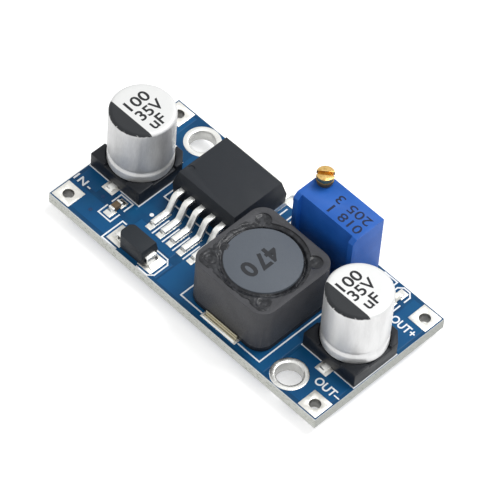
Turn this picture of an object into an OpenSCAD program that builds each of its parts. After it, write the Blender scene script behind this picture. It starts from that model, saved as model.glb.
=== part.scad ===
// Step-down converter board: a populated circuit board with two can capacitors,
// a five-lead power package, a shielded inductor and a multi-turn trimmer.
// Millimetres. X runs along the board from the input end to the output end,
// Y runs across it, Z is up. The origin is at the middle of the footprint,
// at the height of the trimmer's pin tips, which are the lowest points.

/* [Circuit board] */
// Length of the board
board_l = 43.8; // [42:0.1:50]
// Width of the board
board_w = 21; // [20.6:0.1:26]
// Thickness of the board
board_t = 1.6; // [0.8:0.1:2.4]
// How far the trimmer's pins reach below the board
pin_drop = 1; // [0.9:0.05:2]
// Thickness of the tinned copper on the board
copper_t = 0.06; // [0.03:0.01:0.1]
// Radius of a covered via
via_r = 0.25; // [0.15:0.05:0.3]

/* [Mounting holes] */
// Radius of the clear hole inside its plating
mount_hole_r = 1.6; // [1:0.05:1.75]
// Outer radius of the tinned ring around the hole
mount_ring_r = 2.3; // [1.95:0.05:2.35]
// Hole centre to the board's short edge
mount_inset_x = 6.5; // [6.2:0.1:6.8]
// Hole centre to the board's long edge
mount_inset_y = 2.4; // [2.35:0.05:2.6]

/* [Wire terminals] */
// Side of a square terminal pad
terminal_pad = 2.8; // [2.2:0.05:3]
// Radius of a terminal's wire hole
terminal_hole_r = 0.7; // [0.4:0.05:0.9]
// Pad centre to both board edges
terminal_inset = 1.6; // [1.55:0.05:1.8]

/* [Can capacitors] */
// Diameter of the aluminium can
can_d = 8; // [7.4:0.1:8.1]
// Height of the can above its base plate
can_h = 8.85; // [6:0.05:12]
// Radius of the can's top edge
can_edge_r = 0.45; // [0.2:0.05:0.8]
// Height of the bead below the crimp
can_bead_h = 1.3; // [0.8:0.05:1.6]
// Width of the crimp groove
can_groove_w = 0.8; // [0.5:0.05:1]
// Depth of the crimp groove
can_groove_depth = 0.22; // [0.1:0.02:0.3]
// Side of the square base
can_base_w = 8.25; // [8.2:0.05:8.5]
// Height of the base plate
can_base_h = 1.8; // [1:0.05:2.4]
// Height of the base's corner posts above the plate
can_post_h = 0.4; // [0.2:0.05:1]
// Length of a corner post along each side
can_post_l = 2.3; // [1.8:0.1:2.6]
// Bevel on the two corners of the plus side
can_base_bevel = 1.3; // [0.8:0.05:1.6]
// Capacitor axis to the board's short edge
can_inset = 4.33; // [4.3:0.01:4.5]
// Width of a capacitor lead
can_lead_w = 0.9; // [0.5:0.05:1.2]
// Thickness of a capacitor lead
can_lead_t = 0.2; // [0.1:0.02:0.3]
// How far a lead shows past the base
can_lead_out = 0.75; // [0.3:0.05:1]

/* [Power package] */
// Room between the input capacitor's base and the package
package_room = 1.365; // [1.2:0.005:1.5]
// Room between the tab's land and the board's long edge
tab_room = 0.4; // [0.3:0.025:0.5]
// Room between the leads' lands and the diode's
diode_room = 1.725; // [1.6:0.025:1.8]
// Width of the package at its parting line
package_w = 10.16; // [9.8:0.02:10.3]
// Length of the moulded body
package_l = 8.65; // [8.2:0.05:8.8]
// Height of the moulded body above its seat
package_h = 4.4; // [3.8:0.05:4.8]
// Height of the parting line above the seat
package_part_h = 2.35; // [2:0.05:2.6]
// How far the top face steps in at each side
package_draft = 0.5; // [0.2:0.05:0.7]
// Thickness of the copper tab
tab_t = 1.27; // [0.8:0.05:1.5]
// How far the tab shows past the body
tab_out = 1.5; // [1:0.05:1.6]
// Width of a lead
lead_w = 0.8; // [0.6:0.02:0.95]
// Thickness of a lead
lead_t = 0.5; // [0.3:0.02:0.55]
// Lead spacing
lead_pitch = 1.7; // [1.6:0.02:1.8]
// Tip of the leads to the package
lead_reach = 4.7; // [4.5:0.05:4.9]
// Straight part of a lead beside the package
lead_shoulder = 0.75; // [0.5:0.05:0.9]
// Slope of the leads' legs
lead_slope = 63; // [56:1:72]

/* [Inductor] */
// Room between the package and the inductor
inductor_room_in = 1.42; // [1.3:0.005:1.6]
// Room between the inductor and the output capacitor's base
inductor_room_out = 1.945; // [1.8:0.005:2.1]
// Room between the inductor's land and the board's long edge
inductor_edge_room = 0.6; // [0.5:0.05:0.7]
// Side of the square shield core
inductor_w = 12; // [11.2:0.05:12.2]
// Height of the inductor above its seat
inductor_h = 7.05; // [6:0.05:8.5]
// Corner radius of the shield core
inductor_corner_r = 2; // [1:0.1:2.6]
// Radius of the bore through the shield core
inductor_bore_r = 5.5; // [5.2:0.05:5.55]
// Radius of the drum core's flanges
drum_r = 4.6; // [4.4:0.05:5]
// Thickness of the drum core's flanges
drum_flange_t = 1.2; // [0.8:0.05:1.6]
// Radius of the drum core's post
drum_post_r = 2.1; // [1.4:0.05:2.6]
// Radius of the resin pockets in the corners
pocket_r = 1; // [0.6:0.05:1.1]
// Depth of the resin in the ring and the pockets
resin_depth = 1; // [0.5:0.05:1.1]
// How far the resin lies below the cores' tops
resin_sink = 0.3; // [0.1:0.05:0.4]
// Thickness of the base plate
inductor_base_t = 0.7; // [0.5:0.05:1]
// Width of a terminal clip
clip_w = 5; // [4:0.1:6]
// Height of a terminal clip above the seat
clip_h = 0.7; // [0.5:0.05:1.5]
// Thickness of the clip's metal
clip_t = 0.25; // [0.1:0.01:0.3]
// How far the clip's foot shows past its side
clip_toe = 0.35; // [0.2:0.05:0.4]

/* [Trimmer] */
// Room between the feedback resistor's land and the trimmer's screw end
trimmer_room_in = 1.425; // [1.3:0.005:1.6]
// Room between the trimmer's other end and the lamp resistor's land
trimmer_room_out = 0.895; // [0.8:0.005:1]
// Room between the inductor's land and the trimmer's front
trimmer_front_room = 0.65; // [0.5:0.05:0.7]
// Room between the trimmer's back and the board's long edge
trimmer_back_room = 1.02; // [0.9:0.02:1.1]
// Length of the case
trimmer_l = 9.53; // [9.4:0.01:9.7]
// Depth of the case
trimmer_w = 5.03; // [4.95:0.01:5.2]
// Height of the case above the board
trimmer_h = 10.15; // [9.9:0.05:11]
// Depth of the recess between the two ends
trimmer_recess = 0.65; // [0.4:0.05:0.75]
// Bevel on top of the case's front corners
ear_bevel = 0.6; // [0.3:0.05:0.6]
// Width of the ends beside the recess
trimmer_ear = 0.75; // [0.5:0.05:1]
// Wall thickness of the case
trimmer_wall = 0.6; // [0.5:0.02:0.65]
// Thickness of the case's top
trimmer_top_t = 1.2; // [1:0.05:1.4]
// Spacing of the three pins
trimmer_pitch = 2.54; // [2.4:0.01:2.6]
// Radius of a pin
trimmer_pin_r = 0.26; // [0.2:0.01:0.3]
// Thickness of the sealing resin at the open end
potting_t = 0.85; // [0.6:0.05:1]

/* [Adjustment screw] */
// Screw axis to the end and to the back of the case
screw_inset = 1.13; // [1.1:0.01:1.2]
// Radius of the screw head
screw_head_r = 1.1; // [0.9:0.01:1.12]
// Height of the head above the case
screw_head_h = 1.54; // [1.2:0.02:2]
// Width of the driver slot
slot_w = 0.56; // [0.4:0.02:0.7]
// Depth of the driver slot
slot_depth = 0.65; // [0.4:0.02:0.7]
// Direction of the slot as set
slot_angle = 40; // [0:1:90]
// Radius of the screw's shank
shank_r = 0.6; // [0.56:0.01:0.62]
// Outer radius of the worm thread
worm_r = 0.6; // [0.56:0.01:0.62]
// Depth of the worm thread and of the wheel's teeth
thread_depth = 0.27; // [0.22:0.01:0.28]
// Teeth on the wiper wheel
wheel_teeth = 30; // [28:1:32]
// Outer radius of the wiper wheel
wheel_r = 3.4; // [3.2:0.05:3.45]
// Thickness of the wiper wheel
wheel_t = 0.8; // [0.6:0.05:0.9]

/* [Small parts] */
// How far the diode stands nearer the input end than the package's middle
diode_shift = 2.05; // [1.9:0.05:2.2]
// Middle of the diode to the board's long edge
diode_inset = 1.8; // [1.75:0.05:1.9]
// Length of the diode's body
diode_l = 4.3; // [4:0.05:4.6]
// Width of the diode's body
diode_w = 2.6; // [2.3:0.05:2.7]
// Height of the diode
diode_h = 2.2; // [1.8:0.05:2.6]
// Length of a chip part
chip_l = 1.6; // [1.2:0.05:1.8]
// Width of a chip part
chip_w = 0.8; // [0.6:0.02:1]
// Height of a chip part
chip_h = 0.7; // [0.4:0.02:0.9]
// Length of a chip part's metal ends
chip_end = 0.32; // [0.2:0.02:0.4]
// Ceramic capacitor to the input end
ceramic_inset_x = 6.85; // [6.7:0.05:7]
// Ceramic capacitor to the board's long edge
ceramic_inset_y = 4.2; // [4.1:0.05:4.3]
// Indicator lamp to the output end
led_inset = 5.75; // [5.6:0.05:5.9]
// Lamp resistor to the output end
led_resistor_inset = 8.3; // [8.2:0.05:8.4]
// Chip parts beside the trimmer to the board's long edge
chip_inset = 2.1; // [2:0.05:2.2]
// Room between the package's land and the feedback resistor's land
feedback_room = 1.195; // [1.1:0.005:1.3]

/* [Printed lines] */
// Width of a printed line
ink_w = 0.18; // [0.12:0.01:0.22]
// Thickness of the ink
ink_t = 0.03; // [0.02:0.01:0.05]
// Gap between a part and its printed outline
ink_margin = 0.4; // [0.35:0.05:0.45]
// Gap between ink and bare copper
ink_copper_gap = 0.06; // [0.04:0.01:0.08]

/* [Clearances] */
// Gap between the mounting holes' rings and any other copper
copper_gap = 0.2; // [0.15:0.01:0.25]
// Gap between the can and the base's corner posts
post_gap = 0.12; // [0.05:0.01:0.2]
// Radial running gap of the screw in the case
screw_gap = 0.06; // [0.03:0.01:0.08]
// Gap between the screw head and the case
head_gap = 0.05; // [0.03:0.01:0.1]
// Gap between thread tips and tooth roots
mesh_gap = 0.07; // [0.05:0.01:0.08]
// Radial running gap of the wheel on its pivot
wheel_gap = 0.05; // [0.03:0.01:0.08]
// Gap around the screw and the wheel in the case
inner_gap = 0.12; // [0.08:0.01:0.15]
// Gap between the wiper's fingers and the track
wiper_gap = 0.04; // [0.02:0.01:0.06]

/* [Hidden] */
$fn = 64;
cut = 0.5; // how far a cutting solid passes the face that it opens

board_top = pin_drop + board_t;
seat = board_top + copper_t; // underside of everything that is soldered down

half_l = board_l / 2;
half_w = board_w / 2;
mount_x = half_l - mount_inset_x;
mount_y = half_w - mount_inset_y;
terminal_x = half_l - terminal_inset;
terminal_y = half_w - terminal_inset;

// capacitors
can_x = half_l - can_inset;
can_r = can_d / 2;
can_land_side = 0.45; // land beside a lead
can_land_toe = 0.5;   // past its end
can_land_heel = 1.8;  // and in under the base
can_land_w = can_lead_w + 2 * can_land_side;
can_land_out = can_base_w / 2 + can_lead_out + can_land_toe;
can_land_in = can_base_w / 2 - can_land_heel;
lead_foot_in = 1; // inner end of a capacitor lead, measured from the can's axis
// radius of the round tool that rolls a groove of the set width and depth
groove_r = (pow(can_groove_w / 2, 2) + pow(can_groove_depth, 2)) / (2 * can_groove_depth);

// the package and the inductor share out what is left between the capacitors
row_end = can_x - can_base_w / 2;
row_room = (2 * row_end - package_w - inductor_w) / (package_room + inductor_room_in + inductor_room_out);
package_x = package_room * row_room + package_w / 2 - row_end;
inductor_x = row_end - inductor_room_out * row_room - inductor_w / 2;

// diode: its land and its place across the board
diode_land_w = 2.65;
diode_y = diode_inset - half_w;

// power package
tab_land_out = 0.1;
lead_land_toe = 0.8;
across_room = (half_w - diode_y - diode_land_w / 2 - lead_land_toe - lead_reach - package_l - tab_out
    - tab_land_out) / (tab_room + diode_room);
package_front_y = half_w - tab_room * across_room - tab_land_out - tab_out - package_l;
package_back_y = package_front_y + package_l;
package_draft_foot = 0.15;
tab_side = 0.1;   // how much narrower than the package the tab is, on each side
tab_start = 1.8;  // where the tab starts behind the lead side
tab_w = package_w - 2 * tab_side;
tab_back_y = package_back_y + tab_out;
tab_front_y = package_front_y + tab_start;
tab_land_side = 0.75;
tab_land_w = package_w + 2 * tab_land_side;
tab_land_step_y = package_back_y + 0.3; // the land is wide behind this line
lead_foot_y = package_front_y - lead_reach;
lead_land_side = 0.05;
lead_land_w = lead_w + 2 * lead_land_side;
lead_land_l = 3.5;
lead_bend_r = 0.3;
lead_in = 1.2;
last_lead = 4;
dimple_r = 0.42;
dimple_depth = 0.12;
dimple_inset = [1.1, 1.9];

// inductor
drum_top = inductor_h;
drum_bottom = inductor_base_t;
winding_inset = 0.3; // how far the winding stays inside the flanges
pocket_inset = 1.22;  // how far the pockets stay inside the corners
pocket_at = (inductor_w / 2 - pocket_r) * sqrt(2) - pocket_inset;
clip_foot = 1.6;
clip_land_out = 0.6;
clip_land_side = 0.3;
clip_land_w = clip_w + 2 * clip_land_side;
inductor_land_half = inductor_w / 2 + clip_t + clip_land_out;
// the inductor and the trimmer share out the board's width
pair_room = (board_w - 2 * inductor_land_half - trimmer_w)
    / (inductor_edge_room + trimmer_front_room + trimmer_back_room);
inductor_y = inductor_edge_room * pair_room + inductor_land_half - half_w;
trimmer_y = half_w - trimmer_back_room * pair_room - trimmer_w;

// lands of the chip parts
chip_land_side = 0.175;
chip_land_w = chip_w + 2 * chip_land_side;

// trimmer
trimmer_top = board_top + trimmer_h;
trimmer_stand = 0.15; // height of the feet that hold the case off the board
trimmer_foot_l = 0.7;
trimmer_bottom = board_top + trimmer_stand;
trimmer_back = trimmer_y + trimmer_w;
// the feedback resistor and the trimmer share out what is left of the other row
back_row_in = package_x + tab_land_w / 2;
back_row_out = half_l - led_resistor_inset - chip_land_w / 2;
back_room = (back_row_out - back_row_in - trimmer_l - chip_land_w)
    / (feedback_room + trimmer_room_in + trimmer_room_out);
trimmer_x = back_row_out - trimmer_room_out * back_room - trimmer_l;
trimmer_mid_x = trimmer_x + trimmer_l / 2;
screw_x = trimmer_x + screw_inset;
screw_y = trimmer_back - screw_inset;
bore_r = shank_r + screw_gap;
inner_x0 = trimmer_x + trimmer_wall;
inner_x1 = trimmer_x + trimmer_l - trimmer_wall;
inner_y0 = trimmer_y + trimmer_recess + trimmer_wall;
inner_y1 = trimmer_back - trimmer_wall;
inner_top = trimmer_top - trimmer_top_t;
potting_top = trimmer_bottom + potting_t;

// worm and wheel
worm_root_r = worm_r - thread_depth;
core_relief = 0.04;
core_r = worm_root_r - core_relief; // plain rod below and above the thread
wheel_x = screw_x + worm_root_r + mesh_gap + wheel_r;
wheel_root_r = wheel_r - thread_depth;
wheel_pitch_r = (wheel_r + wheel_root_r) / 2;
worm_pitch_r = worm_r - thread_depth / 2;
worm_pitch = 2 * PI * wheel_pitch_r / wheel_teeth;
wheel_z = (potting_top + inner_top) / 2;
worm_turns = 4;
worm_steps = 16;
worm_l = worm_turns * worm_pitch;
worm_z0 = wheel_z - worm_l / 2;
worm_z1 = wheel_z + worm_l / 2;
// the thread's gap faces the wheel at the wheel's own height, where a tooth stands
worm_phase = 180 - 360 * worm_turns / 2;
thread_root_half = 80; // half the thread's share of a turn at its root
thread_tip_half = 46;  // and at its tip
wheel_lean = 360 / (2 * PI * wheel_pitch_r) * worm_pitch / (2 * PI * worm_pitch_r);
tooth_tip_half = 1.4;  // half angle of a wheel tooth at its tip
tooth_root_half = 2.7; // and at its root
pivot_r = 0.6;
pivot_step = 0.2; // how far the pivot's end stays inside the wheel's face
hub_r = 1.3;
hub_l = 0.5;
o_ring_section = 0.1;
o_ring_sink = 0.06; // how far the ring's centre line lies below the shank's surface
o_ring_r = shank_r - o_ring_sink;
o_ring_z = trimmer_top - trimmer_top_t / 2;
o_ring_seat = 0.01; // gap around the ring in its groove
wheel_y0 = screw_y - wheel_t / 2;
wheel_y1 = screw_y + wheel_t / 2;

// screw head: a slotted cap on a neck with one collar
head_cap_h = 0.55;
neck_step = 0.12;
collar_step = 0.04;
collar_h = 0.35;
collar_z = 0.3;
joined = 0.1; // how far joined solids of one piece reach into each other

// element, track and wiper
element_t = 0.6;
element_y1 = inner_y0 + element_t;
element_side = 0.1;
element_head = 0.3; // gap between the element and the case's top
track_t = 0.04;
track_r = 2.5;
track_w = 0.7;
track_gap_angle = 40;
collector_r = 0.9;
wiper_t = 0.15;
wiper_w = 0.9;
wiper_end = wiper_w / 3; // how far the plate runs past the finger
finger_r = wiper_w / 4;
pin_y = inner_y0 + element_t / 2;
pin_hole_gap = 0.2;
pin_hole_r = trimmer_pin_r + pin_hole_gap;

// small parts
resistor_h = 0.45;
led_base_h = 0.3;
led_lens_h = 0.4;
led_draft = 0.12;
chip_land_out = 0.75;
chip_land_in = 0.15;
chip_ink_w = 2;
chip_ink_l = 3.7;
chip_ink_gap = 0.8;
lamp_ink_bevel = 0.55;
ceramic_at = [ceramic_inset_x - half_l, ceramic_inset_y - half_w];
led_at = [half_l - led_inset, half_w - chip_inset];
led_resistor_at = [half_l - led_resistor_inset, half_w - chip_inset];
feedback_resistor_at = [back_row_in + feedback_room * back_room + chip_land_w / 2, half_w - chip_inset];
diode_x = package_x - diode_shift;
diode_land_l = 2.2;
diode_over = 1.55; // end of a land past the end of the body
diode_draft = 0.15;
diode_draft_foot = 0.1;
diode_lead_w = 1.5;
diode_lead_t = 0.2;
diode_lead_out = 0.45;  // outside of a lead past the end of the body
diode_lead_in = 0.5;    // its upper end inside the body
diode_lead_foot = 1.1;  // and its foot in under the body
diode_part_h = 1.15;
via_insets = [[4.6, 4.3], [5, 1.9]]; // from the input end and the long edge

mirror_x = [1, 0, 0];
mirror_y = [0, 1, 0];

// ---- helpers -------------------------------------------------------------

module box(x0, x1, y0, y1, z0, z1) translate([x0, y0, z0]) cube([x1 - x0, y1 - y0, z1 - z0]);

module rounded_square(w, r) {
    square([w, w - 2 * r], center = true);
    square([w - 2 * r, w], center = true);
    for (x = [-1, 1], y = [-1, 1]) translate([x, y] * (w / 2 - r)) circle(r);
}

// a printed line from a to b, with square ends
module ink_line(a, b) translate(a) rotate(atan2(b.y - a.y, b.x - a.x))
    translate([-ink_w / 2, -ink_w / 2]) square([norm(b - a) + ink_w, ink_w]);

module ink_path(points) for (i = [0:len(points) - 2]) ink_line(points[i], points[i + 1]);

// block with drafted sides above and below its parting line, its seat at z = 0
module moulded_block(l, w, h, part_h, draft_top, draft_bottom) intersection() {
    rotate([90, 0, 0]) linear_extrude(w + cut, center = true)
        drafted_face(l, h, part_h, draft_top, draft_bottom);
    rotate([90, 0, 90]) linear_extrude(l + cut, center = true)
        drafted_face(w, h, part_h, draft_top, draft_bottom);
}

module drafted_face(l, h, part_h, draft_top, draft_bottom) polygon([
    [-l / 2 + draft_bottom, 0], [l / 2 - draft_bottom, 0], [l / 2, part_h],
    [l / 2 - draft_top, h], [-l / 2 + draft_top, h], [-l / 2, part_h]]);

// ---- board ---------------------------------------------------------------

module at_mounting_holes() for (s = [-1, 1]) translate([-s * mount_x, s * mount_y]) children();

module at_terminals() for (x = [-1, 1], y = [-1, 1])
    translate([x * terminal_x, y * terminal_y]) children();

module at_vias() for (v = via_insets) translate([v.x - half_l, v.y - half_w]) children();

module at_trimmer_pins() for (i = [-1:1])
    translate([trimmer_mid_x + i * trimmer_pitch, pin_y]) children();

module circuit_board() color("#14508c") difference() {
    box(-half_l, half_l, -half_w, half_w, pin_drop, board_top);
    translate([0, 0, pin_drop - cut]) {
        at_mounting_holes() cylinder(r = mount_hole_r + copper_t, h = board_t + 2 * cut);
        at_terminals() cylinder(r = terminal_hole_r + copper_t, h = board_t + 2 * cut);
        at_trimmer_pins() cylinder(r = pin_hole_r, h = board_t + 2 * cut, $fn = 32);
        at_vias() cylinder(r = via_r, h = board_t + 2 * cut, $fn = 24);
    }
}

// plated through hole: a barrel with a tinned ring on both faces
module board_hole_plating() color("#d9dadb") at_mounting_holes() rotate_extrude() {
    translate([mount_hole_r, pin_drop]) square([copper_t, board_t]);
    for (z = [pin_drop - copper_t, board_top])
        translate([mount_hole_r, z]) square([mount_ring_r - mount_hole_r, copper_t]);
}

module board_terminal_pads() color("#e4e4e2") at_terminals() difference() {
    union() {
        for (z = [pin_drop - copper_t, board_top])
            translate([-terminal_pad / 2, -terminal_pad / 2, z])
                cube([terminal_pad, terminal_pad, copper_t]);
        translate([0, 0, pin_drop]) cylinder(r = terminal_hole_r + copper_t, h = board_t);
    }
    translate([0, 0, pin_drop - cut]) cylinder(r = terminal_hole_r, h = board_t + 2 * cut);
}

module land(x0, x1, y0, y1, grow) translate([x0 - grow, y0 - grow])
    square([x1 - x0 + 2 * grow, y1 - y0 + 2 * grow]);

module chip_lands(at, grow) translate(at) for (s = [0, 1]) mirror(s * mirror_y)
    land(-chip_land_w / 2, chip_land_w / 2,
        chip_l / 2 - chip_end - chip_land_in, chip_l / 2 + chip_land_out, grow);

// outlines of all lands, each grown by the same width on every side
module land_outlines(grow = 0) {
    for (x = [-can_x, can_x], s = [0, 1]) translate([x, 0]) mirror(s * mirror_y)
        land(-can_land_w / 2, can_land_w / 2, can_land_in, can_land_out, grow);
    for (i = [0:last_lead]) translate([lead_x(i), lead_foot_y - lead_land_toe])
        land(-lead_land_w / 2, lead_land_w / 2, 0, lead_land_l, grow);
    translate([package_x, 0]) {
        land(-tab_land_w / 2, tab_land_w / 2, tab_land_step_y, tab_back_y + tab_land_out, grow);
        land(-tab_w / 2, tab_w / 2, tab_front_y, tab_land_step_y, grow);
    }
    for (s = [0, 1]) translate([inductor_x, inductor_y]) mirror(s * mirror_y)
        land(-clip_land_w / 2, clip_land_w / 2, inductor_w / 2 - clip_foot, inductor_land_half, grow);
    for (s = [0, 1]) translate([diode_x, diode_y]) mirror(s * mirror_x)
        land(diode_l / 2 + diode_over - diode_land_l, diode_l / 2 + diode_over,
            -diode_land_w / 2, diode_land_w / 2, grow);
    chip_lands(ceramic_at, grow);
    chip_lands(led_at, grow);
    chip_lands(led_resistor_at, grow);
    chip_lands(feedback_resistor_at, grow);
}

module component_lands() color("#dcdcda") translate([0, 0, board_top])
    linear_extrude(copper_t) difference() {
        land_outlines();
        at_mounting_holes() circle(mount_ring_r + copper_gap);
    }

// copper barrels, closed over by the solder mask
module vias() color("#123f70") at_vias() translate([0, 0, pin_drop - ink_t])
    cylinder(r = via_r, h = board_t + 2 * ink_t, $fn = 24);

// outline of a capacitor: broken at both leads, open over the bevelled corners
module can_ink(x) translate([x, 0]) {
    r = can_base_w / 2;
    gap = can_land_w / 2 + ink_w;
    for (s = [-1, 1]) {
        ink_path([[s * gap, -r], [s * r, -r], [s * r, r - can_base_bevel]]);
        ink_path([[s * (r - can_base_bevel), r], [s * gap, r]]);
    }
}

// two brackets, one around each end of a chip part
module chip_ink(at) translate(at) for (s = [0, 1]) mirror(s * mirror_y) ink_path([
    [-chip_ink_w / 2, chip_ink_gap / 2], [-chip_ink_w / 2, chip_ink_l / 2],
    [chip_ink_w / 2, chip_ink_l / 2], [chip_ink_w / 2, chip_ink_gap / 2]]);

// the lamp's far bracket has bevelled corners, which mark its pole
module lamp_ink() translate(led_at) {
    r = chip_ink_w / 2;
    end = chip_ink_l / 2;
    mirror(mirror_y) ink_path([[-r, chip_ink_gap / 2], [-r, end], [r, end], [r, chip_ink_gap / 2]]);
    ink_path([[-r, chip_ink_gap / 2], [-r, end - lamp_ink_bevel], [lamp_ink_bevel - r, end],
        [r - lamp_ink_bevel, end], [r, end - lamp_ink_bevel], [r, chip_ink_gap / 2]]);
}

module package_ink() {
    x0 = package_x - package_w / 2 - ink_margin;
    x1 = package_x + package_w / 2 + ink_margin;
    y0 = package_front_y - 2 * ink_margin;
    y1 = package_back_y - ink_margin / 2;
    ink_path([[x0, y1], [x0, y0], [x1, y0], [x1, y1]]);
    line_end = 1.8; // past the leads' tips
    for (i = [0:last_lead - 1]) {
        x = lead_x(i + 0.5);
        ink_line([x, lead_foot_y - lead_land_toe], [x, lead_foot_y + line_end]);
    }
    dot = [lead_x(0) - 0.65 * lead_pitch, lead_foot_y + 0.95];
    translate(dot) circle(0.26, $fn = 24);
}

module inductor_ink() translate([inductor_x, inductor_y]) {
    r = inductor_w / 2 + ink_margin;
    gap = clip_land_w / 2 + ink_w;
    for (x = [-1, 1], y = [-1, 1]) ink_path([[x * gap, y * r], [x * r, y * r], [x * r, 0]]);
}

module diode_ink() translate([diode_x, diode_y]) {
    x0 = -diode_l / 2 - diode_over - 2 * ink_w;
    x1 = -x0;
    y = diode_w / 2 + 2 * ink_w;
    bevel = 0.6;
    side = 2.3; // length of the lines along the sides
    ink_path([[x0 + bevel, y], [x0, y], [x0, -y], [x0 + side, -y]]);
    ink_path([[x1 - side, y], [x1 - bevel, y], [x1, y - bevel],
        [x1, bevel - y], [x1 - bevel, -y], [x1 - side, -y]]);
}

// the ink stays on the board and clear of bare copper
module silkscreen() color("white") translate([0, 0, board_top]) linear_extrude(ink_t) difference() {
    intersection() {
        union() {
            can_ink(-can_x);
            can_ink(can_x);
            package_ink();
            inductor_ink();
            diode_ink();
            chip_ink(ceramic_at);
            lamp_ink();
            chip_ink(led_resistor_at);
            chip_ink(feedback_resistor_at);
        }
        square([board_l, board_w], center = true);
    }
    land_outlines(ink_copper_gap);
    at_mounting_holes() circle(mount_ring_r + ink_copper_gap);
    at_terminals() square(terminal_pad + 2 * ink_copper_gap, center = true);
}

// ---- can capacitors ------------------------------------------------------

// sealed can: a bead at the foot, a rolled groove above it and a rounded top edge
module can(x) color("#d4d5d6") translate([x, 0, seat + can_base_h]) difference() {
    rotate_extrude($fn = 96) {
        square([can_r, can_h - can_edge_r]);
        square([can_r - can_edge_r, can_h]);
        translate([can_r - can_edge_r, can_h - can_edge_r]) circle(can_edge_r, $fn = 32);
    }
    translate([0, 0, can_bead_h + can_groove_w / 2]) rotate_extrude($fn = 96)
        translate([can_r + groove_r - can_groove_depth, 0]) circle(groove_r, $fn = 32);
}

module base_outline() {
    r = can_base_w / 2;
    polygon([[-r, -r], [r, -r], [r, r - can_base_bevel], [r - can_base_bevel, r],
        [can_base_bevel - r, r], [-r, r - can_base_bevel]]);
}

module can_base(x) color("#26292d") translate([x, 0, seat]) difference() {
    linear_extrude(can_base_h + can_post_h) base_outline();
    translate([0, 0, can_base_h]) {
        cylinder(r = can_r + post_gap, h = can_post_h + cut, $fn = 96);
        for (a = [0, 90]) rotate(a)
            translate([-can_base_w / 2 - cut, can_post_l - can_base_w / 2, 0])
                cube([can_base_w + 2 * cut, can_base_w - 2 * can_post_l, can_post_h + cut]);
    }
    for (s = [0, 1]) mirror(s * mirror_y)
        translate([-can_lead_w / 2, lead_foot_in, -cut]) cube([can_lead_w, can_base_w, cut + can_lead_t]);
}

// flat leads folded outwards under the base
module can_leads(x) color("#c9cacb") translate([x, 0, seat]) for (s = [0, 1]) mirror(s * mirror_y)
    translate([-can_lead_w / 2, lead_foot_in, 0])
        cube([can_lead_w, can_base_w / 2 + can_lead_out - lead_foot_in, can_lead_t]);

module input_capacitor_can() can(-can_x);
module input_capacitor_base() can_base(-can_x);
module input_capacitor_leads() can_leads(-can_x);
module output_capacitor_can() can(can_x);
module output_capacitor_base() can_base(can_x);
module output_capacitor_leads() can_leads(can_x);

// ---- power package -------------------------------------------------------

function lead_x(i) = package_x + (i - last_lead / 2) * lead_pitch;

// points of an arc about c, from angle a0 to a1
function arc(c, r, a0, a1, n = 5) = [for (i = [0:n]) c + polar(r, a0 + (a1 - a0) * i / n)];
function polar(r, a) = r * [cos(a), sin(a)];

// gull-wing lead in the Y-Z plane: shoulder, sloping leg and foot
lead_mid_r = lead_bend_r + lead_t / 2;
lead_drop = package_part_h - lead_t / 2;
lead_leg = (lead_drop - 2 * lead_mid_r * (1 - cos(lead_slope))) / sin(lead_slope);
lead_bend_1 = [package_front_y - lead_shoulder, package_part_h - lead_mid_r];
lead_bend_2 = [lead_bend_1.x - 2 * lead_mid_r * sin(lead_slope) - lead_leg * cos(lead_slope),
    lead_mid_r + lead_t / 2];

module lead_profile() polygon(concat(
    [[package_front_y + lead_in, package_part_h + lead_t / 2]],
    arc(lead_bend_1, lead_bend_r + lead_t, 90, 90 + lead_slope),
    arc(lead_bend_2, lead_bend_r, 270 + lead_slope, 270),
    [[lead_foot_y, lead_t], [lead_foot_y, 0]],
    arc(lead_bend_2, lead_bend_r + lead_t, 270, 270 + lead_slope),
    arc(lead_bend_1, lead_bend_r, 90 + lead_slope, 90),
    [[package_front_y + lead_in, package_part_h - lead_t / 2]]));

module regulator_leads() color("#d6d4d0") for (i = [0:last_lead])
    translate([lead_x(i) - lead_w / 2, 0, seat]) rotate([90, 0, 90])
        linear_extrude(lead_w) lead_profile();

module regulator_tab() color("#b9b6b1") box(package_x - tab_w / 2, package_x + tab_w / 2,
    tab_front_y, tab_back_y, seat, seat + tab_t);

module regulator_package() color("#33363a") difference() {
    translate([package_x, (package_front_y + package_back_y) / 2, seat]) difference() {
        moulded_block(package_w, package_l, package_h, package_part_h, package_draft, package_draft_foot);
        translate([-package_w / 2, -package_l / 2, package_h - dimple_depth]) translate(dimple_inset)
            cylinder(r = dimple_r, h = dimple_depth + cut, $fn = 32);
    }
    box(package_x - tab_w / 2, package_x + tab_w / 2, tab_front_y, tab_back_y, seat - cut, seat + tab_t);
    for (i = [0:last_lead])
        translate([lead_x(i) - lead_w / 2, package_front_y - cut, seat + package_part_h - lead_t / 2])
            cube([lead_w, lead_in + cut, lead_t]);
}

// ---- inductor ------------------------------------------------------------

module at_inductor(z = 0) translate([inductor_x, inductor_y, seat + z]) children();

module pockets() for (a = [45:90:315]) rotate(a) translate([pocket_at, 0]) circle(pocket_r, $fn = 40);

module inductor_shield_core() color("#45464a") at_inductor(inductor_base_t) difference() {
    linear_extrude(inductor_h - inductor_base_t) rounded_square(inductor_w, inductor_corner_r);
    translate([0, 0, -cut]) cylinder(r = inductor_bore_r, h = inductor_h + cut, $fn = 96);
    translate([0, 0, inductor_h - inductor_base_t - resin_depth])
        linear_extrude(resin_depth + cut) pockets();
}

module inductor_drum_core() color("#6a7076") at_inductor(drum_bottom) {
    cylinder(r = drum_r, h = drum_flange_t, $fn = 96);
    cylinder(r = drum_post_r, h = drum_top - drum_bottom);
    translate([0, 0, drum_top - drum_bottom - drum_flange_t])
        cylinder(r = drum_r, h = drum_flange_t, $fn = 96);
}

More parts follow.
